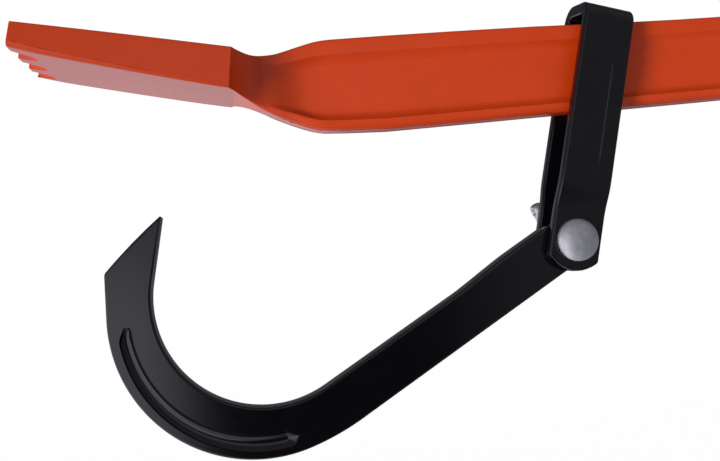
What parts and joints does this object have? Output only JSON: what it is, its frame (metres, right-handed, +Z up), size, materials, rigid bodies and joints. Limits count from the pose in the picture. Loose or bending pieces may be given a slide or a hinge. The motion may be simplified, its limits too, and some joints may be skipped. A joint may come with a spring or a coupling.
{
  "type": "felling lever",
  "caption": "Steel lever with a widened, toothed blade, an I-section bar, a rubber grip and a swing hook on a sliding stirrup for turning logs.",
  "frame": {"origin": "middle of the hand grip, on the axis of the bar inside it", "axes": "+X along the bar from the blade to the grip, +Z up through the bar's height, away from the hook, +Y through the bar's thickness"},
  "size_m": [0.8, 0.0456, 0.171],
  "materials": {
    "orange_paint": "glossy orange powder coat on forged steel",
    "black_rubber": "matte moulded rubber with ribs",
    "black_coat": "satin black coating on forged steel",
    "zinc_plate": "bright zinc plate"
  },
  "bodies": {
    "lever": {"lever_bar": "orange_paint", "handle_grip": "black_rubber"},
    "pin": {"pivot_pin": "zinc_plate", "pivot_washer": "zinc_plate", "split_pin": "zinc_plate"},
    "strap": {"stirrup_strap": "black_coat"},
    "hook": {"log_hook": "black_coat"}
  },
  "joints": [
    {"name": "strap_slide", "type": "slide", "parent": "lever", "child": "pin", "axis": [1, 0, 0], "range_m": [-0.085, 0.4]},
    {"name": "strap_tilt", "type": "hinge", "parent": "pin", "child": "strap", "pos_m": [-0.5218, 0, -0.07415], "axis": [0, 1, 0], "range_deg": [-31.4, 0]},
    {"name": "hook_swing", "type": "hinge", "parent": "pin", "child": "hook", "pos_m": [-0.5218, 0, -0.07415], "axis": [0, 1, 0], "range_deg": [-165, 9]}
  ]
}
